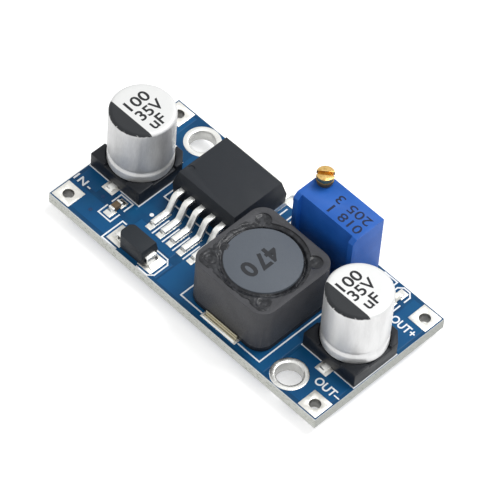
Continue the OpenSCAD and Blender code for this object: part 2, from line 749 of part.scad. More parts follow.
module inductor_winding() color("#b3623a") at_inductor(drum_bottom + drum_flange_t) difference() {
    cylinder(r = drum_r - winding_inset, h = drum_top - drum_bottom - 2 * drum_flange_t);
    translate([0, 0, -cut]) cylinder(r = drum_post_r, h = drum_top);
}

module inductor_resin() color("#1d1f22") at_inductor(inductor_h - resin_depth)
    linear_extrude(resin_depth - resin_sink) difference() {
        union() {
            circle(inductor_bore_r, $fn = 96);
            pockets();
        }
        circle(drum_r, $fn = 96);
    }

module inductor_base() color("#2b2c2f") at_inductor() difference() {
    linear_extrude(inductor_base_t) rounded_square(inductor_w, inductor_corner_r);
    for (s = [0, 1]) mirror(s * mirror_y)
        translate([-clip_w / 2, inductor_w / 2 - clip_foot, -cut])
            cube([clip_w, clip_foot + cut, cut + clip_t]);
}

// metal clips folded under the base and up the sides
module inductor_terminals() color("#c9bd96") at_inductor() for (s = [0, 1]) mirror(s * mirror_y)
    translate([-clip_w / 2, 0, 0]) {
        translate([0, inductor_w / 2 - clip_foot, 0])
            cube([clip_w, clip_foot + clip_t + clip_toe, clip_t]);
        translate([0, inductor_w / 2, 0]) cube([clip_w, clip_t, clip_h]);
    }

// ---- trimmer -------------------------------------------------------------

module at_screw(z) translate([screw_x, screw_y, z]) children();

module along_y(y0, y1) translate([wheel_x, y0, wheel_z]) rotate([-90, 0, 0])
    linear_extrude(y1 - y0) children();

module trimmer_case() color("#1f63c4") {
    difference() {
        box(trimmer_x, trimmer_x + trimmer_l, trimmer_y, trimmer_back, trimmer_bottom, trimmer_top);
        box(trimmer_x + trimmer_ear, trimmer_x + trimmer_l - trimmer_ear, trimmer_y - cut,
            trimmer_y + trimmer_recess, trimmer_bottom - cut, trimmer_top + cut);
        translate([trimmer_mid_x, trimmer_y, trimmer_top]) rotate([45, 0, 0])
            cube([trimmer_l + 2 * cut, ear_bevel * sqrt(2), ear_bevel * sqrt(2)], center = true);
        box(inner_x0, inner_x1, inner_y0, inner_y1, trimmer_bottom - cut, inner_top);
        at_screw(potting_top) cylinder(r = worm_r + inner_gap, h = inner_top - potting_top, $fn = 48);
        at_screw(inner_top - cut) cylinder(r = bore_r, h = trimmer_top_t + 2 * cut, $fn = 48);
    }
    along_y(wheel_y0 + pivot_step, inner_y1 + joined) circle(pivot_r, $fn = 40);
    // feet at both ends
    for (x = [trimmer_x, trimmer_x + trimmer_l - trimmer_foot_l])
        box(x, x + trimmer_foot_l, inner_y1, trimmer_back, board_top, trimmer_bottom + joined);
    for (x = [trimmer_x, trimmer_x + trimmer_l - trimmer_wall])
        box(x, x + trimmer_wall, trimmer_y, trimmer_y + trimmer_foot_l, board_top, trimmer_bottom + joined);
}

// brass screw: slotted head, grooved neck, sealed shank and worm
module trimmer_screw() color("#c89a45") {
    head_z = trimmer_top + head_gap;
    head_top = trimmer_top + screw_head_h;
    groove_half = o_ring_section + o_ring_seat;
    at_screw(0) difference() {
        union() {
            rod(screw_head_r, head_top - head_cap_h, head_top);
            rod(screw_head_r - neck_step, head_z, head_top - joined);
            rod(screw_head_r - collar_step, head_z + collar_z, head_z + collar_z + collar_h);
            rod(shank_r, inner_top - joined, head_z + joined, $fn = 48);
            rod(core_r, potting_top + inner_gap, inner_top, $fn = 48);
            translate([0, 0, worm_z0]) worm_thread();
        }
        rotate(slot_angle) translate([-screw_head_r - cut, -slot_w / 2, head_top - slot_depth])
            cube([2 * (screw_head_r + cut), slot_w, slot_depth + cut]);
        difference() {
            rod(shank_r + cut, o_ring_z - groove_half, o_ring_z + groove_half);
            rod(o_ring_r - groove_half, o_ring_z - cut, o_ring_z + cut);
        }
    }
}

module rod(r, z0, z1) translate([0, 0, z0]) cylinder(r = r, h = z1 - z0);

module trimmer_o_ring() color("#1a1a1a") at_screw(o_ring_z) rotate_extrude($fn = 48)
    translate([o_ring_r, 0]) circle(o_ring_section, $fn = 20);

// right-hand thread: one lobe turned about the axis as it rises
module worm_thread()
    linear_extrude(worm_l, twist = -360 * worm_turns, slices = worm_turns * worm_steps, segments = 14)
        rotate(worm_phase) polygon(concat(
            arc([0, 0], worm_r, -thread_tip_half, thread_tip_half, 4),
            arc([0, 0], worm_root_r, thread_root_half, 360 - thread_root_half, 8)));

// toothed wheel whose teeth lean with the thread
module trimmer_rotor() color("#e8e4d8") difference() {
    union() {
        translate([wheel_x, screw_y, wheel_z]) rotate([-90, 0, 0]) for (s = [0, 1]) mirror([0, 0, s])
            linear_extrude(wheel_t / 2, twist = (s == 0 ? -1 : 1) * wheel_lean * wheel_t / 2,
                slices = 2, segments = 4 * wheel_teeth)
                    polygon([for (i = [0:wheel_teeth - 1]) each tooth(180 + i * 360 / wheel_teeth)]);
        along_y(wheel_y0 - hub_l, wheel_y0 + joined) circle(hub_r, $fn = 40);
    }
    along_y(wheel_y0, wheel_y1 + cut) circle(pivot_r + wheel_gap, $fn = 40);
}

function tooth(a) = [polar(wheel_root_r, a - tooth_root_half), polar(wheel_r, a - tooth_tip_half),
    polar(wheel_r, a + tooth_tip_half), polar(wheel_root_r, a + tooth_root_half)];

// spring contact on the wheel: a plate, and two fingers that reach the track and the collector
module trimmer_wiper() color("#cdb98a") {
    plate_y1 = wheel_y0 - hub_l;
    plate_y0 = plate_y1 - wiper_t;
    finger_y = element_y1 + track_t + wiper_gap;
    along_y(plate_y0, plate_y1) {
        circle(hub_r, $fn = 40);
        translate([-wiper_w / 2, -track_r - wiper_end]) square([wiper_w, track_r + wiper_end]);
    }
    for (r = [0, track_r]) along_y(finger_y, plate_y0 + wiper_t / 2)
        translate([0, -r]) circle(finger_r, $fn = 24);
}

module trimmer_element() color("#e9e6de")
    box(inner_x0 + element_side, inner_x1 - element_side, inner_y0, element_y1,
        potting_top, inner_top - element_head);

module trimmer_track() color("#2a2320") {
    along_y(element_y1, element_y1 + track_t) difference() {
        circle(track_r + track_w / 2);
        circle(track_r - track_w / 2);
        rotate(90 - track_gap_angle / 2)
            polygon(concat([[0, 0]], arc([0, 0], trimmer_w, 0, track_gap_angle)));
    }
    along_y(element_y1, element_y1 + track_t) circle(collector_r);
}

module trimmer_pins() color("#cfcfcd") at_trimmer_pins()
    cylinder(r = trimmer_pin_r, h = potting_top, $fn = 32);

module trimmer_potting() color("#16386b") difference() {
    box(inner_x0, inner_x1, inner_y0, inner_y1, trimmer_bottom, potting_top);
    at_trimmer_pins() cylinder(r = trimmer_pin_r, h = potting_top + cut, $fn = 32);
}

// ---- small parts ---------------------------------------------------------

// moulded body with a round cathode end
module diode_body() color("#3a3c3e") translate([diode_x, diode_y, seat]) difference() {
    intersection() {
        moulded_block(diode_l, diode_w, diode_h, diode_part_h, diode_draft, diode_draft_foot);
        union() {
            translate([diode_w / 2 - diode_l / 2, 0]) cylinder(r = diode_w / 2, h = diode_h, $fn = 48);
            box(diode_w / 2 - diode_l / 2, diode_l / 2, -diode_w / 2, diode_w / 2, 0, diode_h);
        }
    }
    for (s = [0, 1]) mirror(s * mirror_x) {
        diode_strip(diode_l / 2 - diode_lead_foot, diode_l, -cut, diode_lead_t);
        diode_strip(diode_l / 2 - diode_lead_in, diode_l, diode_part_h - diode_lead_t, diode_part_h);
    }
}

module diode_strip(x0, x1, z0, z1) box(x0, x1, -diode_lead_w / 2, diode_lead_w / 2, z0, z1);

// leads that leave at the parting line and fold under the body
module diode_terminals() color("#d0d0ce") translate([diode_x, diode_y, seat])
    for (s = [0, 1]) mirror(s * mirror_x) {
        out = diode_l / 2 + diode_lead_out;
        diode_strip(diode_l / 2 - diode_lead_in, out, diode_part_h - diode_lead_t, diode_part_h);
        diode_strip(out - diode_lead_t, out, 0, diode_part_h);
        diode_strip(diode_l / 2 - diode_lead_foot, out, 0, diode_lead_t);
    }

module chip_body(at, shade, h = chip_h) color(shade) translate([at.x, at.y, seat])
    box(-chip_w / 2, chip_w / 2, chip_end - chip_l / 2, chip_l / 2 - chip_end, 0, h);

module chip_ends(at, h = chip_h) color("#dfdedb") translate([at.x, at.y, seat])
    for (s = [0, 1]) mirror(s * mirror_y)
        box(-chip_w / 2, chip_w / 2, chip_l / 2 - chip_end, chip_l / 2, 0, h);

module ceramic_capacitor_body() chip_body(ceramic_at, "#8a6a4a");
module ceramic_capacitor_ends() chip_ends(ceramic_at);
module led_resistor_body() chip_body(led_resistor_at, "#1f1f21", resistor_h);
module led_resistor_ends() chip_ends(led_resistor_at, resistor_h);
module feedback_resistor_body() chip_body(feedback_resistor_at, "#1f1f21", resistor_h);
module feedback_resistor_ends() chip_ends(feedback_resistor_at, resistor_h);

// clear moulded lens on a narrow board
module led_body() color("#f2efe2") translate([led_at.x, led_at.y, seat])
    moulded_block(chip_w, chip_l - 2 * chip_end, led_base_h + led_lens_h, led_base_h, led_draft, 0);

module led_ends() chip_ends(led_at, led_base_h);

// ---- solder --------------------------------------------------------------

// wedge of solder against a wall at y = 0, running out towards +Y
module fillet(w, reach, h) rotate([90, 0, 90]) linear_extrude(w, center = true)
    polygon([[0, 0], [reach, 0], [reach / 3, h / 2.5], [0, h]]);

// a wedge covers this share of the land past a piece's end, and of that end's height
solder_spread = 0.75;
solder_climb = 0.6;

module chip_fillets(at, h) translate([at.x, at.y, seat]) for (s = [0, 1]) mirror(s * mirror_y)
    translate([0, chip_l / 2, 0]) fillet(chip_w, solder_spread * chip_land_out, solder_climb * h);

module solder_joints() color("#dadad8") {
    for (x = [-can_x, can_x], s = [0, 1]) translate([x, 0, seat]) mirror(s * mirror_y)
        translate([0, can_base_w / 2 + can_lead_out, 0])
            fillet(can_lead_w, solder_spread * can_land_toe, can_lead_t);
    for (i = [0:last_lead]) translate([lead_x(i), lead_foot_y, seat]) mirror(mirror_y)
        fillet(lead_w, solder_spread * lead_land_toe, solder_climb * lead_t);
    for (s = [0, 1]) translate([diode_x, diode_y, seat]) mirror(s * mirror_x)
        translate([diode_l / 2 + diode_lead_out, 0, 0]) rotate(-90)
            fillet(diode_lead_w, solder_spread * (diode_over - diode_lead_out),
                solder_climb * diode_part_h);
    for (s = [0, 1]) at_inductor() mirror(s * mirror_y)
        translate([0, inductor_w / 2 + clip_t + clip_toe, 0])
            fillet(clip_w, solder_spread * (clip_land_out - clip_toe), solder_climb * clip_t);
    chip_fillets(ceramic_at, chip_h);
    chip_fillets(led_at, led_base_h);
    chip_fillets(led_resistor_at, resistor_h);
    chip_fillets(feedback_resistor_at, resistor_h);
    at_trimmer_pins() rotate_extrude($fn = 32) pin_solder();
}

// solder around a pin: a cone under the board, and the filled hole above it
module pin_solder() {
    tip_z = pin_drop - 0.75;
    tip_r = trimmer_pin_r + 0.1;
    waist_z = pin_drop - 0.3;
    waist_r = pin_hole_r + 0.15;
    foot_r = pin_hole_r + 0.45;
    polygon([[trimmer_pin_r, tip_z], [tip_r, tip_z], [waist_r, waist_z], [foot_r, pin_drop],
        [pin_hole_r, pin_drop], [pin_hole_r, board_top], [trimmer_pin_r, board_top]]);
}

circuit_board();
board_hole_plating();
board_terminal_pads();
component_lands();
vias();
silkscreen();
input_capacitor_can();
input_capacitor_base();
input_capacitor_leads();
output_capacitor_can();
output_capacitor_base();
output_capacitor_leads();
regulator_package();
regulator_tab();
regulator_leads();
inductor_shield_core();
inductor_drum_core();
inductor_winding();
inductor_resin();
inductor_base();
inductor_terminals();
trimmer_case();
trimmer_screw();
trimmer_o_ring();
trimmer_rotor();
trimmer_wiper();
trimmer_element();
trimmer_track();
trimmer_pins();
trimmer_potting();
diode_body();
diode_terminals();
ceramic_capacitor_body();
ceramic_capacitor_ends();
led_body();
led_ends();
led_resistor_body();
led_resistor_ends();
feedback_resistor_body();
feedback_resistor_ends();
solder_joints();
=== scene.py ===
# %% [markdown]
# # Dressing a step-down converter board
#
# The solids come from a CAD model, already in metres and already in place. This
# lesson gives them what a solid can't have: rounded edges, satin metal, printed
# letters, wrinkled resin and the light of a small white table.
# Each step starts with a cell such as this one, and ends by printing what it made.

# %% Load the solids
import bmesh
import bpy
import math
from mathutils import Matrix, Vector, noise


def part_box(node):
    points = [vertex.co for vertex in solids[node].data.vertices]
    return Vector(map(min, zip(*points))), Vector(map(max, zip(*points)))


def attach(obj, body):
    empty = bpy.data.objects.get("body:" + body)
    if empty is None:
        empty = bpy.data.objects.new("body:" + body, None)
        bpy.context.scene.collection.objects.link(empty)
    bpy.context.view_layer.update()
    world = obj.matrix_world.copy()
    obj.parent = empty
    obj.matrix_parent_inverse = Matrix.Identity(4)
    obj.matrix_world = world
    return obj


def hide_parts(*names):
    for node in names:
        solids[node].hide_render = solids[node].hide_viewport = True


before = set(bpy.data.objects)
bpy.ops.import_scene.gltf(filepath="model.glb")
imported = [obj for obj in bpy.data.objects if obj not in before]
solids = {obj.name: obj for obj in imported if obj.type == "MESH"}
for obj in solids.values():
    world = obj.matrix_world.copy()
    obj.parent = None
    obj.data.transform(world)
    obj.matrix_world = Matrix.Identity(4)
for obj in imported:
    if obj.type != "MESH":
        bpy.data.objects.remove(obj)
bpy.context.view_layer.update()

# %% [markdown]
# ## Working in millimetres
#
# Blender counts in metres and a circuit board in tenths of a millimetre. The sizes
# below are written in millimetres and turned into metres at the last moment, by one
# factor, so that the numbers stay readable.

# %% Units and places
MM = 0.001


def span(node):
    """Lowest corner, highest corner and middle of a solid, in millimetres."""
    low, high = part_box(node)
    return low / MM, high / MM, (low + high) / 2 / MM


board_low, board_high, board_mid = span("circuit_board")
board_top = board_high.z
print("board top at", round(board_top, 3), "mm")

# %% [markdown]
# ## A material as a sum
#
# A procedural material is a net of small nodes. Wiring each by hand hides the idea,
# so one small class wraps a socket and lets Python's own signs add the Math nodes:
# `1 - mask * 0.5` becomes three sockets and two nodes. The other class holds one
# material and adds any other node from its type, its settings and its inputs.

# %% A value with signs
class Signal:
    """A socket's value, which can be added, taken away and multiplied."""

    def __init__(self, finish, socket):
        self.finish = finish
        self.socket = socket

    def out(self, name):
        """Another output of the same node."""
        return Signal(self.finish, self.socket.node.outputs[name])

    def math(self, operation, *others):
        """A Math node with this signal first."""
        values = {i: v for i, v in enumerate((self, *others))}
        return self.finish.add("ShaderNodeMath", {"operation": operation}, values)

    def turned(self, operation, other):
        """A Math node with this signal second."""
        return self.finish.add("ShaderNodeMath", {"operation": operation}, {0: other, 1: self})

    def __add__(self, other):
        return self.math("ADD", other)

    def __sub__(self, other):
        return self.math("SUBTRACT", other)

    def __mul__(self, other):
        return self.math("MULTIPLY", other)

    def __rsub__(self, other):
        return self.turned("SUBTRACT", other)

    __radd__ = __add__
    __rmul__ = __mul__

    def __abs__(self):
        return self.math("ABSOLUTE")

    def most(self, other):
        return self.math("MAXIMUM", other)


# %% A net of nodes
class Net:
    """A tree of shader nodes, of a material or of the world."""

    def __init__(self, tree):
        self.tree = tree

    def add(self, kind, settings=None, values=None, out=0):
        """A node of a type: its settings first, then the values or links of its sockets."""
        node = self.tree.nodes.new(kind)
        for name, value in (settings or {}).items():
            setattr(node, name, value)
        for key, value in (values or {}).items():
            self.feed(node.inputs[key], value)
        return Signal(self, node.outputs[out])

    def feed(self, socket, value):
        """Links a signal to a socket, or sets a plain value on it."""
        if isinstance(value, Signal):
            self.tree.links.new(value.socket, socket)
        elif isinstance(value, tuple) and len(value) == 3 and len(socket.default_value) == 4:
            socket.default_value = (*value, 1)
        else:
            socket.default_value = value

    def seen_directly(self):
        """1 for rays from the camera, off a glossy surface or through glass."""
        path = self.add("ShaderNodeLightPath", out="Is Camera Ray")
        return path.most(path.out("Is Glossy Ray")).most(path.out("Is Transmission Ray"))


# %% A finish is a net with a Principled shader
class Finish(Net):
    """One material. The inputs of its Principled shader are its keywords."""

    def __init__(self, name):
        self.material = bpy.data.materials.new(name)
        self.material.use_nodes = True
        super().__init__(self.material.node_tree)
        self.shader = self.tree.nodes["Principled BSDF"]

    def set(self, **inputs):
        for name, value in inputs.items():
            self.feed(self.shader.inputs[name.replace("_", " ")], value)
        return self.material

    def place(self, centre=(0, 0, 0)):
        """Object coordinates in millimetres from a centre."""
        coords = self.add("ShaderNodeTexCoord", out="Object")
        return self.add("ShaderNodeMapping", {"vector_type": "TEXTURE"}, {
            "Vector": coords, "Location": tuple(c * MM for c in centre), "Scale": (MM, MM, MM)})

    def parts(self, vector):
        """The three parts of a vector, as signals."""
        first = self.add("ShaderNodeSeparateXYZ", {}, {0: vector})
        return [first.out(axis) for axis in "XYZ"]

    def stretch(self, vector, by):
        """A vector with each part multiplied by its own number."""
        return self.add("ShaderNodeVectorMath", {"operation": "MULTIPLY"}, {0: vector, 1: by})

    def grain(self, vector, scale, detail=3.0, rough=0.55):
        """Noise about 0.5, with a scale in waves to the millimetre."""
        return self.add("ShaderNodeTexNoise", {}, {
            "Vector": vector, "Scale": scale, "Detail": detail, "Roughness": rough})

    def step(self, value, start, end, low=0.0, high=1.0):
        """A soft step from low to high as the value goes from start to end."""
        return self.add("ShaderNodeMapRange", {"interpolation_type": "SMOOTHSTEP"}, {
            "Value": value, "From Min": start, "From Max": end, "To Min": low, "To Max": high})

    def blend(self, mask, first, second):
        """first where the mask is 0, second where it is 1."""
        colours = {"Factor": mask, 6: first, 7: second}
        return self.add("ShaderNodeMix", {"data_type": "RGBA"}, colours, out=2)

    def relief(self, height, depth_mm):
        """A bump whose height of 1 stands a depth in millimetres proud."""
        return self.add("ShaderNodeBump", {}, {
            "Height": height, "Distance": depth_mm * MM, "Strength": 1.0})


print("a signal knows", len([n for n in vars(Signal) if n.startswith("__")]), "of Python's signs")

# %% [markdown]
# ## Edges that catch the light
#
# No real edge is perfectly sharp. A solid from CAD is loose triangles, so a copy is
# merged, its flat faces are joined, and the edges that really turn are bevelled by a
# few hundredths of a millimetre. The copy then stands for the solid.

# %% Making and placing pieces
def finish_piece(shape, name, material, body="module", stands_for=(), smooth=35):
    """Turns a bmesh into a piece that rides on a body."""
    mesh = bpy.data.meshes.new(name)
    shape.to_mesh(mesh)
    shape.free()
    mesh.materials.append(material)
    mesh.shade_smooth()
    mesh.set_sharp_from_angle(angle=math.radians(smooth))
    piece = bpy.data.objects.new(name, mesh)
    bpy.context.scene.collection.objects.link(piece)
    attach(piece, body)
    if stands_for:
        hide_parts(*stands_for)
    return piece


def merged_copy(node):
    """A solid's mesh with its loose triangles joined."""
    shape = bmesh.new()
    shape.from_mesh(solids[node].data)
    bmesh.ops.remove_doubles(shape, verts=shape.verts, dist=0.0005 * MM)
    bmesh.ops.dissolve_limit(shape, angle_limit=math.radians(0.5), verts=shape.verts,
                             edges=shape.edges)
    return shape


def round_edges(shape, width, segments=2, turn=30, only=None):
    """Bevels the edges that turn by more than an angle, in degrees."""
    chosen = [e for e in shape.edges if e.is_manifold and e.calc_face_angle(0) > math.radians(turn)
              and (only is None or only(e))]
    bmesh.ops.bevel(shape, geom=chosen, offset=width * MM, offset_type="OFFSET", affect="EDGES",
                    segments=segments, profile=0.5, material=-1, clamp_overlap=True)
    return shape


def soften(node, width, material, body="module", segments=2, smooth=35):
    """A copy of a solid with rounded edges, in its place."""
    shape = merged_copy(node)
    if width:
        round_edges(shape, width, segments)
    piece = finish_piece(shape, node + "_dressed", material, body, (node,), smooth)
    print(piece.name, len(piece.data.polygons), "faces")
    return piece


def plain(material, *nodes):
    """Gives solids that stay as they are their material."""
    for node in nodes:
        mesh = solids[node].data
        mesh.materials.clear()
        mesh.materials.append(material)


# %% [markdown]
# ## The board
#
# A board is a sheet of glass cloth in yellowish resin, with copper on both faces and
# a coat of blue lacquer over it. The copper shows through the lacquer as slightly
# lighter islands with soft raised edges, and the sawn edge shows the bare sheet.
# One material does all three, by place: the outermost twentieth of a millimetre is
# bare sheet, and islands are drawn as distances to boxes.

# %% Blue lacquer and sawn edge
half_l, half_w = board_high.x, board_high.y


def lacquer():
    f = Finish("blue_lacquer")
    at = f.place()
    x, y, z = f.parts(at)
    wander = f.grain(at, 0.9) - 0.5

    def island(x0, x1, y0, y1):
        """1 inside a box, 0 outside, with a soft edge."""
        out = (abs(x - (x0 + x1) / 2) - (x1 - x0) / 2).most(abs(y - (y0 + y1) / 2) - (y1 - y0) / 2)
        return f.step(out, 0.06, -0.06)

    copper = island(-21.4, -12.6, -9.9, -6.9)
    for box in ((-21.4, -18.3, -6.4, 9.9), (-12.9, -4.6, -10.0, -7.2), (-4.3, 13.2, -10.1, -3.6),
                (13.6, 21.4, -9.9, -3.2), (-14.6, 0.4, 1.2, 9.9), (17.6, 21.4, -2.6, 9.9),
                (1.4, 12.9, 3.6, 9.9), (-17.9, -13.3, -4.7, -2.2), (-11.9, -5.6, -6.7, -5.2),
                (13.2, 17.2, 4.9, 6.6), (-4.2, -0.9, -4.4, 0.4)):
        copper = copper.most(island(*box))
    edge = (abs(x) - (half_l - 0.05)).most(abs(y) - (half_w - 0.05))
    bare = f.step(edge + wander * 0.04, -0.012, 0.012)
    side = f.step(edge, 0.036, 0.045)
    dust = f.step(f.grain(at, 4.5, 4.0, 0.7), 0.70, 0.76)
    cloth = f.grain(f.stretch(at, (1.0, 1.0, 3.2)), 3.1, 5.0, 0.7)
    chips = f.step(cloth, 0.50, 0.62)
    lips = f.step(abs(z - board_mid.z), 0.60, 0.72)
    tone = f.grain(at, 0.35, 2.0)
    blue = f.blend(copper, (0.005, 0.054, 0.145), (0.006, 0.079, 0.212))
    blue = f.blend(f.step(tone, 0.35, 0.7, 0, 0.5), blue, (0.007, 0.092, 0.214))
    blue = f.blend(dust * 0.3, blue, (0.08, 0.22, 0.36))
    sheet = f.blend(chips, (0.74, 0.75, 0.70), (0.42, 0.44, 0.38))
    sheet = f.blend(f.step(f.grain(at, 9.0, 2.0), 0.5, 0.8), sheet, (0.82, 0.83, 0.82))
    sheet = f.blend(lips * 0.7, sheet, (0.80, 0.82, 0.82))
    # painted shade: the end faces at both ends in X are darkened, as if they lay in shade
    painted_shade_ends = f.step(abs(x), half_l - 0.02, half_l - 0.01, 0, 0.45)
    sheet = f.blend(painted_shade_ends, sheet, (0.16, 0.17, 0.17))
    rim = f.blend(side, (0.62, 0.66, 0.66), sheet)
    height = copper * (1 - bare) * 0.7 + cloth * side * 0.9 + wander * 0.1
    return f.set(Base_Color=f.blend(bare, blue, rim), Roughness=f.step(bare, 0, 1, 0.36, 0.75),
                 Normal=f.relief(height, 0.03), IOR=1.5, Specular_IOR_Level=0.15)


soften("circuit_board", 0.05, lacquer(), segments=1)

# %% [markdown]
# ## Tinned copper, ink and bare pads
#
# Hot tin runs over bare copper and sets in a thin uneven skin, so a pad is never
# mirror flat: it has shallow dimples and a duller border. A metal with a noise in
# its roughness and a shallow bump gives this better than a flat grey.

# %% Tin and ink
def tin(name, tone, dull, dimple, scale=2.2, shine=1.0, barrel_shade=0.0):
    f = Finish(name)
    at = f.place()
    x, y, z = f.parts(at)
    wave = f.grain(at, scale)
    speck = f.step(f.grain(at, scale * 5, 4.0, 0.65), 0.60, 0.78)
    dark = tuple(c * 0.75 for c in tone)
    colour = f.blend(speck * 0.5, tone, dark)
    # painted shade: the inside wall of each hole is darkened, as if shade lay in it
    if barrel_shade:
        within = f.step(abs(z - board_mid.z), board_thick * 0.49, board_thick * 0.42)
        colour = f.blend(within * barrel_shade, colour, (0.10, 0.10, 0.10))
    return f.set(Base_Color=colour, Metallic=shine,
                 Roughness=f.step(wave, 0.3, 0.75, dull * 0.8, dull * 1.25),
                 Normal=f.relief(wave + speck * 0.1, dimple))


def ink(name, colour, fleck, worn_from=0.60):
    f = Finish(name)
    at = f.place()
    worn = f.step(f.grain(at, 6.0, 4.0, 0.7), worn_from, worn_from + 0.12)
    return f.set(Base_Color=f.blend(worn * 0.5, colour, fleck), Roughness=0.5 + worn * 0.15,
                 Normal=f.relief(f.grain(at, 9.0), 0.01), Specular_IOR_Level=0.25)


board_thick = board_high.z - board_low.z
pad_tin = tin("pad_tin", (0.75, 0.74, 0.70), 0.45, 0.03, barrel_shade=0.8)
ring_tin = tin("ring_tin", (0.80, 0.80, 0.77), 0.30, 0.02, 0.8, barrel_shade=0.35)
lead_tin = tin("lead_tin", (0.86, 0.86, 0.83), 0.40, 0.012, 0.9)
solder_tin = tin("solder_tin", (0.80, 0.80, 0.77), 0.30, 0.02, 1.2)
white_ink = ink("white_ink", (0.86, 0.88, 0.90), (0.55, 0.63, 0.72))
soften("board_terminal_pads", 0.03, pad_tin)
soften("component_lands", 0.02, pad_tin)
soften("vias", 0.0, ink("covered_via", (0.012, 0.05, 0.14), (0.02, 0.09, 0.2)))
soften("silkscreen", 0.0, white_ink)

# %% [markdown]
# ## Letters from a font
#
# Printed letters are a hair of ink on the surface. Blender's own font becomes a flat
# curve, the curve becomes a mesh, and only then is it turned and moved to its place,
# so that the finished piece sits at the origin like every other.

# %% Lettering helper
def lettering(name, text, middle, along, up, size, material, bold=0.0, thick=0.02, gap=1.0):
    """Text of a (length, height), centred at a point; along and up are its own directions."""
    curve = bpy.data.curves.new(name, "FONT")
    curve.body = text
    curve.align_x, curve.align_y = "CENTER", "CENTER"
    curve.offset = bold
    curve.space_character = gap
    curve.extrude = 0.01
    curve.resolution_u = 4
    holder = bpy.data.objects.new(name + "_curve", curve)
    bpy.context.scene.collection.objects.link(holder)
    bpy.context.view_layer.update()
    mesh = bpy.data.meshes.new_from_object(holder)
    bpy.data.objects.remove(holder)
    shape = bmesh.new()
    shape.from_mesh(mesh)
    bpy.data.meshes.remove(mesh)
    bmesh.ops.remove_doubles(shape, verts=shape.verts, dist=0.0001)
    xs, ys = [v.co.x for v in shape.verts], [v.co.y for v in shape.verts]
    grow = (size[0] / (max(xs) - min(xs)), size[1] / (max(ys) - min(ys)))
    shift = Vector((-(max(xs) + min(xs)) / 2, -(max(ys) + min(ys)) / 2, 0))
    along, up = Vector(along).normalized(), Vector(up).normalized()
    turn = Matrix((along, up, along.cross(up))).transposed().to_4x4()
    scale = Matrix.Diagonal((grow[0] * MM, grow[1] * MM, thick * 50 * MM, 1))
    place = Matrix.Translation(Vector(middle) * MM)
    bmesh.ops.transform(shape, matrix=place @ turn @ scale @ Matrix.Translation(shift),
                        verts=shape.verts)
    bmesh.ops.recalc_face_normals(shape, faces=shape.faces)
    piece = finish_piece(shape, name, material)
    print(name, [round(v / MM, 2) for v in piece.dimensions])
    return piece


ink_z = board_top + 0.02
EAST, NORTH = (1, 0, 0), (0, 1, 0)
WEST, SOUTH = (-1, 0, 0), (0, -1, 0)
# name, text, middle x and y, length, height and letter spacing
labels = (("input_minus", "IN-", -20.42, -6.38, 2.6, 1.02, 1.3),
          ("input_plus", "IN+", -20.42, 6.38, 2.8, 1.02, 1.25),
          ("output_minus", "OUT\u2013", 19.82, -6.35, 3.75, 1.14, 1.0),
          ("output_plus", "OUT+", 19.42, 6.25, 3.55, 1.14, 1.0))
for name, text, x, y, length, tall, gap in labels:
    lettering("label_" + name, text, (x, y, ink_z), EAST, NORTH, (length, tall),
              white_ink,
              0.022, gap=gap)

# %% [markdown]
# ## Turned pieces
#
# Cans and rings are round, so each is one profile spun about a vertical axis. The
# profile is a short line of points, with arcs where the real piece is rolled or
# wetted, and the spin's ends are merged so that no seam is left. A cylinder with
# bevels would give the straight parts, but not a rolled bead or a hollow rim.

# %% Turning helpers
def arc(centre_r, centre_z, radius, start, end, steps):
    """Points of an arc, angles in degrees from the outward direction."""
    turns = [math.radians(start + (end - start) * i / steps) for i in range(steps + 1)]
    return [(centre_r + radius * math.cos(t), centre_z + radius * math.sin(t)) for t in turns]


def turned_shape(profile, middle, steps=96, closed=False):
    """Spins a profile of (radius, height) pairs round a vertical axis, in millimetres."""
    shape = bmesh.new()
    line = [shape.verts.new((r * MM, 0, z * MM)) for r, z in profile]
    edges = [shape.edges.new(pair) for pair in zip(line, line[1:] + line[:1] * closed)]
    bmesh.ops.spin(shape, geom=line + edges, cent=(0, 0, 0), axis=(0, 0, 1),
                   angle=2 * math.pi, steps=steps, use_merge=True)
    bmesh.ops.remove_doubles(shape, verts=shape.verts, dist=0.001 * MM)
    bmesh.ops.recalc_face_normals(shape, faces=shape.faces)
    bmesh.ops.translate(shape, verts=shape.verts, vec=Vector(middle) * MM)
    return shape


print("arcs and turned shapes are ready")

# %% [markdown]
# ## Mounting rings
#
# Around each mounting hole the copper is bare and tinned. Melted tin pulls itself into
# a low dome that falls away at both borders, on both faces of the board, and it lines
# the hole. One closed profile gives the two domes and the lining in one watertight
# piece, where a flat washer would catch no light along its borders.

# %% Mounting rings
_, ring_high, _ = span("board_hole_plating")
hole_r, ring_r = 1.6, 2.3
dome = [(ring_r, board_top), (ring_r - 0.03, board_top + 0.03), (ring_r - 0.12, board_top + 0.052),
        (hole_r + 0.30, board_top + 0.06), (hole_r + 0.12, board_top + 0.05),
        (hole_r + 0.03, board_top + 0.01), (hole_r, board_top - 0.06)]
sole = [(r, 2 * board_mid.z - z) for r, z in reversed(dome)]
wall = [(hole_r + 0.06, board_low.z), (hole_r + 0.06, board_top)]
rings = bmesh.new()
for sign in (-1, 1):
    spot = (sign * (ring_high.x - ring_r), -sign * (ring_high.y - ring_r), 0)
    ring = turned_shape(dome + sole + wall, spot, 64, closed=True)
    spare = bpy.data.meshes.new("spare")
    ring.to_mesh(spare)
    ring.free()
    rings.from_mesh(spare)
    bpy.data.meshes.remove(spare)
finish_piece(rings, "mounting_rings", ring_tin,
             stands_for=("board_hole_plating",), smooth=60)
print("two rings,", round(ring_r * 2, 2), "mm across")

# %% [markdown]
# ## The can capacitors
#
# A can is drawn from one sheet of aluminium: a straight wall, a rounded top edge and
# a groove rolled in near the foot that holds the seal. Turning a profile gives it
# exactly, and leaves the wall free of facets. Fine streaks run down the wall, so the
# noise is stretched along Z and wrapped round the axis by the direction alone, which
# leaves no seam.

